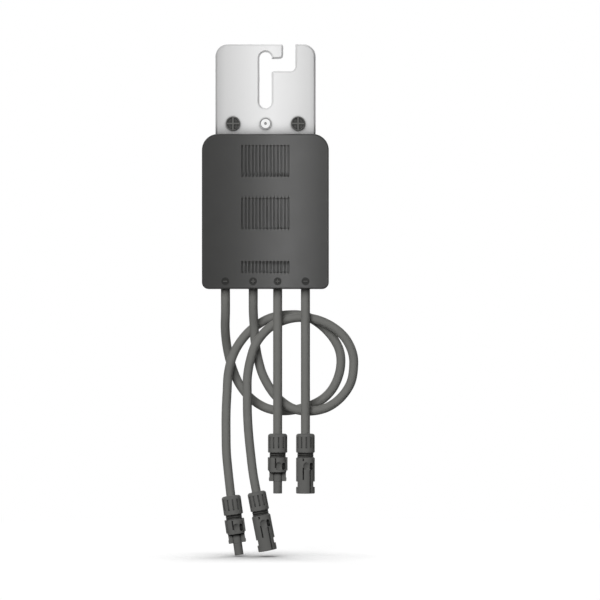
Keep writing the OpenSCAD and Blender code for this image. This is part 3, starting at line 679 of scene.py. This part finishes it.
    def _shell(self) -> Mesh:
        """Builds the shell before its lead holes are cut."""
        shape = bmesh.new()
        rim = self._face(shape)
        last = [point for point, _ in rim]
        base = [(point.co.copy(), way, self._way_back(point.co.y)) for point, way in rim]
        for step in range(len(base[0][2])):
            ring = []
            for place, way, path in base:
                out, y = path[step]
                ring.append(shape.verts.new((place.x + way.x * out, y, place.z + way.z * out)))
            join_rings(shape, last, ring)
            last = ring
        shape.faces.new(last)
        bmesh.ops.remove_doubles(shape, verts=shape.verts, dist=self.weld)
        return as_mesh("housing_shell", shape)

    def build(self) -> Object:
        """Builds the shell with its lead holes, in place of the CAD tray."""
        shell = linked("shell", self._shell())
        shape = bmesh.new()
        for x in self.hole_places:
            made = bmesh.ops.create_cone(
                shape, cap_ends=True, segments=self.hole_sides, radius1=self.hole_radius,
                radius2=self.hole_radius, depth=4 * self.wall)
            place = (x, self.hole_depth, self.bottom + self.wall / 2)
            bmesh.ops.translate(shape, verts=made["verts"], vec=place)
        cutter = linked("hole_cutters", as_mesh("hole_cutters", shape))
        having(shell.modifiers.new("holes", "BOOLEAN"), operation="DIFFERENCE", solver="EXACT", object=cutter)
        mesh = baked(shell)
        bpy.data.objects.remove(cutter)
        made = new_piece("housing_shell", mesh, "housing_plastic", Finish.HOUSING_PLASTIC)
        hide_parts("front_housing")
        return made


class Polarity(Enum):
    """Signs beside the leads."""

    PLUS = "plus"
    MINUS = "minus"


@dataclass
class PolarityMark:
    """A thin disc with a raised plus or minus sign, lying on the housing's crowned face."""

    name: str
    sign: Polarity
    housing: Housing
    x: float
    z: float = -201.4 * MM
    radius: float = 3.5 * MM
    proud: float = 0.12 * MM
    sink: float = 0.05 * MM
    rim_share: float = 0.6
    ring_shares: tuple[float, ...] = (0.985, 0.66, 0.33)
    sides: int = 64
    sign_length: float = 3.6 * MM
    sign_width: float = 0.95 * MM
    sign_proud: float = 0.1 * MM
    sign_sink: float = 0.02 * MM
    sign_soft: float = 0.06 * MM
    crease: float = 35

    def build(self) -> Object:
        """Builds the disc and its sign on the housing's face."""
        shape = bmesh.new()
        self._disc(shape)
        self._bar(shape, self.sign_length, self.sign_width)
        if self.sign is Polarity.PLUS:
            self._bar(shape, self.sign_width, self.sign_length)
        mesh = as_mesh(self.name, shape)
        return new_piece(self.name, mesh, "housing_plastic", Finish.MARK_DARK, Finish.MARK_LIGHT,
                         crease=self.crease)

    def _lay(self, dx: float, dz: float, proud: float) -> Point:
        """A point at an offset from the mark's centre, at a height over the face."""
        x, z = self.x + dx, self.z + dz
        return (x, self.housing.surface_y(x, z) - proud, z)

    def _disc(self, shape: BMesh) -> None:
        """Adds the disc, as rings from its rounded rim to its middle."""
        profile = [(1.0, -self.sink), (1.0, self.rim_share * self.proud),
                   *((share, self.proud) for share in self.ring_shares)]
        rings = [[shape.verts.new(self._lay(share * self.radius * a, share * self.radius * b, up))
                  for a, b in circle(self.sides)] for share, up in profile]
        for low, high in zip(rings, rings[1:]):
            join_rings(shape, low, high)
        centre = shape.verts.new(self._lay(0, 0, self.proud))
        for i in range(self.sides):
            shape.faces.new((rings[-1][i], rings[-1][(i + 1) % self.sides], centre))
        shape.faces.new(list(reversed(rings[0])))

    def _bar(self, shape: BMesh, length: float, width: float) -> None:
        """Adds one bar of the sign, with softened upper edges."""
        levels = [(0.0, self.proud - self.sign_sink), (0.0, self.proud + self.sign_proud / 2),
                  (self.sign_soft, self.proud + self.sign_proud)]
        rings = []
        for inset, up in levels:
            a, b = length / 2 - inset, width / 2 - inset
            rings.append([shape.verts.new(self._lay(dx, dz, up))
                          for dx, dz in ((-a, -b), (a, -b), (a, b), (-a, b))])
        made = [shape.faces.new(rings[-1]), shape.faces.new(list(reversed(rings[0])))]
        for low, high in zip(rings, rings[1:]):
            made += join_rings(shape, low, high)
        for face in made:
            face.material_index = 1


@dataclass
class Bracket:
    """The slotted metal plate that the part hangs from, with a chamfer along its front edges."""

    node: str = "mounting_bracket"
    chamfer: float = 1.7 * MM
    plane: float = -1.9 * MM

    def dress(self, softener: Softener) -> None:
        """Gives the plate its finish and its chamfer."""
        softener.apply(self.node, Finish.BRACKET_METAL, self.chamfer, self.plane)


@dataclass
class EarthRivet:
    """The bright rivet between the bracket's two moulded ones, with a turned ring and a centre mark whose
    recesses are painted with shade.
    """

    z: float = -59 * MM
    seat: float = -2 * MM
    grip: float = 5 * MM
    shank_radius: float = 2.5 * MM
    tail_radius: float = 4 * MM
    tail: float = 1.4 * MM
    radius: float = 5.35 * MM
    height: float = 1.4 * MM
    soft: float = 0.2 * MM
    ring_radius: float = 4.6 * MM
    ring_width: float = 1.0 * MM
    ring_depth: float = 0.9 * MM
    floor_share: float = 0.8
    land_radius: float = 3.0 * MM
    centre_radius: float = 1.25 * MM
    centre_lip: float = 0.08 * MM
    centre_depth: float = 1.3 * MM
    tip_radius: float = 0.25 * MM
    sides: int = 72
    crease: float = 35

    def _profile(self) -> list[tuple[float, float]]:
        """Radius and height over the bracket of each ring of points, from the tail to the head's middle."""
        top, end = self.height, -self.grip - self.tail
        half, floor = self.ring_width / 2, top - self.ring_depth
        return [(self.tail_radius - self.soft, end), (self.tail_radius, end + self.soft),
                (self.tail_radius, -self.grip), (self.shank_radius, -self.grip), (self.shank_radius, 0.0),
                (self.radius, 0.0), (self.radius, top - self.soft),
                (self.radius - BEND * self.soft, top - BEND * self.soft), (self.radius - self.soft, top),
                (self.ring_radius + half, top), (self.ring_radius + self.floor_share * half, floor),
                (self.ring_radius - self.floor_share * half, floor), (self.ring_radius - half, top),
                (self.land_radius, top), (self.centre_radius, top - self.centre_lip),
                (self.floor_share * self.centre_radius, top - self.centre_depth),
                (self.tip_radius, top - self.centre_depth)]

    def _sunk(self, low: tuple[float, float], high: tuple[float, float]) -> bool:
        """Whether the faces between two rings of points lie in the turned ring or the centre mark, where
        shade is painted.
        """
        radius, height = (sum(pair) / 2 for pair in zip(low, high))
        return radius < self.ring_radius + self.ring_width / 2 and 0 < height < self.height - self.centre_lip

    def build(self) -> Object:
        """Turns the rivet in place of its CAD solid."""
        shape = bmesh.new()
        profile = self._profile()
        rings = [[shape.verts.new((radius * a, self.seat - up, self.z + radius * b))
                  for a, b in circle(self.sides)] for radius, up in profile]
        for number, (low, high) in enumerate(zip(rings, rings[1:])):
            for face in join_rings(shape, low, high):
                face.material_index = int(self._sunk(*profile[number:number + 2]))
        shape.faces.new(rings[-1]).material_index = 1
        shape.faces.new(list(reversed(rings[0])))
        mesh = as_mesh("turned_rivet", shape)
        made = new_piece("turned_rivet", mesh, "rivet_metal", Finish.RIVET_METAL, Finish.RECESS_METAL,
                         crease=self.crease)
        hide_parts("earth_rivet")
        return made


class Plug(Enum):
    """The two kinds of connector, as the names of their body and contact."""

    PROBE = ("probe_housing", "socket_contact")
    SHELL = ("shell_housing", "pin_contact")


@dataclass
class Connector:
    """One plug-in connector: its CAD nodes and the thread that shows on its neck."""

    name: str
    plug: Plug
    end: Vector
    tilt: float
    nut_edge: float = 0.06 * MM
    neck_radius: float = 7.14 * MM
    thread_start: float = 17.2 * MM
    thread_length: float = 3.9 * MM
    thread_turns: float = 2.2
    thread_radius: float = 0.5 * MM
    thread_sink: float = 0.2 * MM

    def nodes(self) -> list[str]:
        """Names of the connector's CAD nodes."""
        return [f"{self.name}_{part}" for part in ("cap_nut", "cable_seal", *self.plug.value)]

    def dress(self, softener: Softener) -> None:
        """Gives the connector's CAD nodes their finishes, and the nut softened edges."""
        nut, seal, body, contact = self.nodes()
        softener.apply(nut, Finish.CONNECTOR_PLASTIC, self.nut_edge)
        softener.apply(body, Finish.CONNECTOR_PLASTIC)
        softener.apply(seal, Finish.SEAL_RUBBER)
        softener.apply(contact, Finish.CONTACT_METAL)

    def build_thread(self, tree: NodeTree) -> Object:
        """Winds the thread round the neck.

        Args:
            tree: the node tree that winds a thread.

        Returns:
            The new piece.
        """
        # The neck's core takes the painted shade of the thread's roots.
        neck = Finish.NECK_PLASTIC.material()
        helper = linked("thread", bpy.data.meshes.new("thread"))
        add_nodes(helper, "wind", tree, {
            "Turns": self.thread_turns, "Radius": self.neck_radius - self.thread_sink,
            "Neck": self.neck_radius, "Length": self.thread_length, "Crest": self.thread_radius,
            "Start": self.thread_start, "Tilt": math.radians(-self.tilt), "Place": self.end,
            "Finish": Finish.THREAD_PLASTIC.material(), "Neck Finish": neck})
        mesh = baked(helper)
        for face in mesh.polygons:
            face.material_index = int(mesh.materials[face.material_index] == neck)
        return new_piece(f"{self.name}_neck_thread", mesh, "connector_plastic",
                         Finish.THREAD_PLASTIC, Finish.NECK_PLASTIC)


def thread_tree() -> NodeTree:
    """Builds the node tree that winds a round-crested thread down from a connector's nut."""
    lengths = ("Turns", "Radius", "Neck", "Length", "Crest", "Start", "Tilt")
    g = Graph.geometry("neck_thread", {**{name: "Float" for name in lengths}, "Place": "Vector",
                                       "Finish": "Material", "Neck Finish": "Material"})
    given = g.given

    def raised(height: Value) -> Value:
        """A vector that points up by a height."""
        return g.node("ShaderNodeCombineXYZ", {}, {"Z": height})

    spiral = g.node("GeometryNodeCurveSpiral", {}, {
        "Resolution": THREAD_POINTS, "Rotations": given["Turns"], "Start Radius": given["Radius"],
        "End Radius": given["Radius"], "Height": given["Length"]})
    section = g.node("GeometryNodeCurvePrimitiveCircle", {},
                     {"Resolution": CREST_SIDES, "Radius": given["Crest"]})
    sweep = g.node("GeometryNodeCurveToMesh", {},
                   {"Curve": spiral, "Profile Curve": section, "Fill Caps": True})
    thread = g.node("GeometryNodeSetMaterial", {}, {"Geometry": sweep, "Material": given["Finish"]})
    core = g.node("GeometryNodeMeshCylinder", {},
                  {"Vertices": NECK_SIDES, "Radius": given["Neck"], "Depth": given["Length"]})
    lifted = g.node("GeometryNodeTransform", {},
                    {"Geometry": core, "Translation": raised(given["Length"] * 0.5)})
    neck = g.node("GeometryNodeSetMaterial", {}, {"Geometry": lifted, "Material": given["Neck Finish"]})
    both = g.node("GeometryNodeJoinGeometry", {}, {0: [thread, neck]})
    lowered = g.node("GeometryNodeTransform", {}, {
        "Geometry": both, "Translation": raised((given["Start"] + given["Length"]) * -1.0)})
    turn = g.node("ShaderNodeCombineXYZ", {}, {"Y": given["Tilt"]})
    return g.finish(g.node("GeometryNodeTransform", {}, {
        "Geometry": lowered, "Rotation": turn, "Translation": given["Place"]}))


@dataclass
class Lead:
    """One lead: a smooth cord along its route, from its grommet into its connector."""

    name: str
    exit_place: Vector
    route: list[Vector]
    connector: Connector
    diameter: float = 8.2 * MM
    hidden_end: float = 15.2 * MM
    steps: int = 8
    roundness: int = 8

    def _points(self) -> list[Vector]:
        """The route, with its end inside the connector, as a smooth line of close points."""
        tilt = math.radians(self.connector.tilt)
        knots = [*self.route, self.route[-1] + self.hidden_end * Vector((math.sin(tilt), 0, -math.cos(tilt)))]
        line = []
        for i in range(len(knots) - 1):
            before = knots[i - 1] if i else 2 * knots[0] - knots[1]
            after = knots[i + 2] if i + 2 < len(knots) else 2 * knots[-1] - knots[-2]
            a, b = knots[i], knots[i + 1]
            for k in range(self.steps):
                t = k / self.steps
                line.append(0.5 * (2 * a + (b - before) * t + (2 * before - 5 * a + 4 * b - after) * t ** 2
                                   + (3 * a - before - 3 * b + after) * t ** 3))
        return line + [knots[-1]]

    def build(self, thread: Object) -> Object:
        """Args:
            thread: the thread on the neck of the connector that hangs on the cord.

        Returns:
            The cord.
        """
        points = self._points()
        curve = having(bpy.data.curves.new(self.name, "CURVE"), dimensions="3D", use_fill_caps=True,
                       bevel_depth=self.diameter / 2, bevel_resolution=self.roundness)
        line = curve.splines.new("POLY")
        line.points.add(len(points) - 1)
        for point, place in zip(line.points, points):
            point.co = (*place, 1.0)
        line.use_smooth = True
        made = linked(self.name, curve)
        curve.materials.append(Finish.LEAD_JACKET.material())
        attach(made, "root")
        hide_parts(self.connector.name + "_lead")
        [frame["nodes"][n] for n in self.connector.nodes()] + [thread]
        return made


OUTPUT_NEGATIVE_STEPS = (
    (0, 0, 9.4), (0, 0, -4.6), (0, 3, -19.6), (-0.4, 11, -35.6), (1, 21, -51.6),
    (4.6, 26, -67.6), (11.6, 26, -85), (23, 25, -99.2), (38, 22, -108), (55, 20, -110),
    (73.4, 19, -106.2), (87.8, 19, -99.2), (97.8, 19, -88), (103.4, 19, -72.8), (103.4, 19, -57.6),
    (97.3, 19, -44.4), (86, 19, -32.4), (72, 19, -24.4), (56, 19, -23.2), (40, 19, -26.2),
    (25.8, 19, -34.3), (14.7, 17, -45.6), (6.6, 15, -59.6), (2.4, 14, -75.6), (1.2, 13, -93.6),
    (0.4, 11, -111.6), (0.4, 9, -129.6), (0.8, 8, -147.6), (2.6, 8, -167), (4.8, 8, -186.4))
OUTPUT_POSITIVE_STEPS = (
    (0, 0, 9.4), (0, 0, -4.6), (0, 4, -19.6), (0.7, 10, -33.6), (1.7, 13, -48.6),
    (4.6, 13, -64.6), (9.5, 12, -79.6), (19.6, 11, -95.6), (33.8, 10, -106.8), (49, 9, -110.1),
    (65.4, 9, -107.2), (78.6, 9, -98.2), (87.7, 9, -84.9), (90.5, 9, -69.6), (89.2, 9, -56.6),
    (82.2, 9, -43.3), (70.2, 9, -33.2), (56, 9, -27.2), (41, 9, -25.6), (27, 9, -28.4),
    (13.8, 7, -35.4), (2.8, 4, -48.4), (-2.3, 3, -62.6), (-5.2, 3, -78.6), (-5.4, 3, -95.6),
    (-5.2, 3, -112.6), (-4.2, 3, -129.6), (-2.3, 3, -148.6), (-0.1, 3, -166.6), (2.8, 3, -182.6))
STRAIGHT_STEPS = tuple((0, 0, z) for z in (9.4, -10.6, -30.6, -50.6, -70.6, -90.6, -110.6, -130.1))
# From left to right: name, route from the exit in mm, connector, its tilt in degrees and the sign.
LEAD_ROWS = (("output_negative", OUTPUT_NEGATIVE_STEPS, Plug.PROBE, 8.0, Polarity.MINUS),
             ("output_positive", OUTPUT_POSITIVE_STEPS, Plug.SHELL, 11.0, Polarity.PLUS),
             ("input_positive", STRAIGHT_STEPS, Plug.PROBE, 0.0, Polarity.PLUS),
             ("input_negative", STRAIGHT_STEPS, Plug.SHELL, 0.0, Polarity.MINUS))


def leads(housing: Housing) -> list[Lead]:
    """The four leads with their connectors, from left to right, hung from the housing's lead holes."""
    made = []
    for (name, steps, plug, tilt, _), x in zip(LEAD_ROWS, housing.hole_places):
        exit_place = Vector((x, housing.hole_depth, housing.bottom))
        route = [exit_place + Vector(step) * MM for step in steps]
        made.append(Lead(f"{name}_cord", exit_place, route, Connector(name, plug, route[-1], tilt)))
    return made


@dataclass(frozen=True)
class Lamp:
    """One soft rectangular lamp. Its level is how bright a white surface that faces it renders."""

    name: str
    place: Point
    size: tuple[float, float]
    level: float
    diffuse: bool = True
    glossy: bool = True

    def build(self, target: Point) -> None:
        """Stands the lamp up so that it faces a point and has its level there."""
        gap = Vector(target) - Vector(self.place)
        data = having(bpy.data.lights.new(self.name, "AREA"), shape="RECTANGLE", size=self.size[0],
                      size_y=self.size[1], energy=self.level * math.pi ** 2 * gap.length_squared)
        having(linked(self.name, data), location=self.place,
               rotation_euler=gap.to_track_quat("-Z", "Z").to_euler(), visible_camera=False,
               visible_diffuse=self.diffuse, visible_glossy=self.glossy)


@dataclass
class Studio:
    """Camera, floor, lamps and world."""

    pixels: float = 600
    metres_per_pixel: float = 0.9 * MM
    aim: Point = (31.1 * MM, -13 * MM, -218.2 * MM)
    distance: float = 4.0
    view_end: float = 100
    sensor: float = 36.0
    middle: Point = (10 * MM, -20 * MM, -200 * MM)
    fill: float = 0.05
    floor_gap: float = 0.6 * MM
    floor_half: float = 6.0
    floor_cells: int = 8
    floor_dark: float = 0.15
    floor_matt: float = 0.3
    floor_glow: float = 0.65
    shade_reach: float = 110 * MM
    shade_power: float = 3.0
    near_end: float = 0.3
    far_start: float = 0.7
    lamps: tuple[Lamp, ...] = (
        Lamp("key", (-0.53, -1.92, 0.52), (1.3, 1.3), 0.97, glossy=False),
        Lamp("strip", (0.23, -2.2, -0.15), (0.26, 1.6), 0.64, diffuse=False),
        Lamp("wide strip", (-0.08, -2.2, -0.15), (0.4, 1.6), 0.11, diffuse=False),
        Lamp("above", (0.0, 0.0, 2.0), (0.6, 0.6), 0.1),
        Lamp("behind left", (-1.0, 1.71, 0.73), (1.2, 1.2), 0.5, glossy=False),
        Lamp("behind right", (1.02, 1.71, 0.73), (1.2, 1.2), 0.5, glossy=False))

    def camera(self) -> None:
        """Sets the camera straight in front, with a long lens."""
        x, y, z = self.aim
        lens = self.sensor * self.distance / (self.pixels * self.metres_per_pixel)
        data = having(bpy.data.cameras.new("camera"), sensor_width=self.sensor, lens=lens,
                      clip_end=self.view_end)
        bpy.context.scene.camera = having(linked("camera", data), location=(x, y - self.distance, z),
                                          rotation_euler=(math.pi / 2, 0, 0))

    def floor(self) -> None:
        """Lays a pale floor that keeps the part's shadow."""
        height = cad_box[0][2] - self.floor_gap
        shape = bmesh.new()
        bmesh.ops.create_grid(shape, x_segments=self.floor_cells, y_segments=self.floor_cells,
                              size=self.floor_half)
        bmesh.ops.translate(shape, verts=shape.verts, vec=(0, 0, height))
        mesh = bpy.data.meshes.new("floor")
        shape.to_mesh(mesh)
        shape.free()
        made = linked("floor", mesh)
        mesh.materials.append(self._floor_material())

    def _floor_material(self) -> Material:
        """Builds the floor's material: darkened near the part by a painted shadow as well as its cast shadow,
        even and white far from it.
        """
        made, g = new_material("floor_pale")
        seen = g.seen()
        away = (g.axis("x") ** 2.0 + g.axis("y") ** 2.0) ** 0.5
        # Painted shadow: the less open the floor lies to the part, the darker its colour and the weaker its
        # glow.
        clear = seen * g.openness(self.shade_reach, local=False) ** self.shade_power
        matt = g.node("ShaderNodeBsdfDiffuse", {}, {"Color": self.floor_dark + clear * self.floor_matt})
        glow = g.node("ShaderNodeEmission", {}, {"Color": WHITE, "Strength": clear * self.floor_glow})
        near = g.node("ShaderNodeAddShader", {}, {0: matt, 1: glow})
        light = self.fill + seen * (1 - self.fill)
        far = g.node("ShaderNodeEmission", {}, {"Color": WHITE, "Strength": light})
        share = away.stepped(self.near_end, self.far_start)
        g.finish(g.node("ShaderNodeMixShader", {}, {0: share, 1: near, 2: far}))
        return made

    def world(self) -> None:
        """Surrounds the part with even light, white where it is seen or mirrored."""
        made = bpy.data.worlds.new("studio")
        made.use_nodes = True
        g = Graph(made.node_tree, "ShaderNodeOutputWorld")
        strength = self.fill + g.seen() * (1 - self.fill)
        g.finish(g.node("ShaderNodeBackground", {}, {"Color": WHITE, "Strength": strength}))
        bpy.context.scene.world = made

    def build(self) -> None:
        """Sets up floor, lamps and world."""
        self.floor()
        for lamp in self.lamps:
            lamp.build(self.middle)
        self.world()
        bpy.context.scene.view_settings.view_transform = "Standard"


SOFT_EDGES = {"bracket_rivets": 0.06 * MM, "back_cover": 0.03 * MM}


def dress_rest(softener: Softener, done: set[str]) -> None:
    """Gives every CAD node that has no class of its own the finish of its material slot.

    Args:
        softener: smooths the nodes and softens their edges.
        done: names of the nodes that are dressed already.
    """
    for row in frame["record"]["subparts"]:
        node = row["node"]
        if node not in done:
            softener.apply(node, Finish[row["material_slot"].upper()], SOFT_EDGES.get(node, 0.0))


def main() -> None:
    """Builds the camera, the cords, the pieces and the stage, in that order."""
    logging.basicConfig(level=logging.INFO, format="%(message)s")
    studio, housing, bracket, softener = Studio(), Housing(), Bracket(), Softener()
    studio.camera()
    winder = thread_tree()
    done = {bracket.node}
    for lead in leads(housing):
        lead.build(lead.connector.build_thread(winder))
        lead.connector.dress(softener)
        done.update(lead.connector.nodes())
    housing.build()
    for number, (row, x) in enumerate(zip(LEAD_ROWS, housing.hole_places), 1):
        PolarityMark(f"polarity_mark_{number}", row[-1], housing, x).build()
    EarthRivet().build()
    bracket.dress(softener)
    dress_rest(softener, done)
    studio.build()


if __name__ == "__main__":
    main()
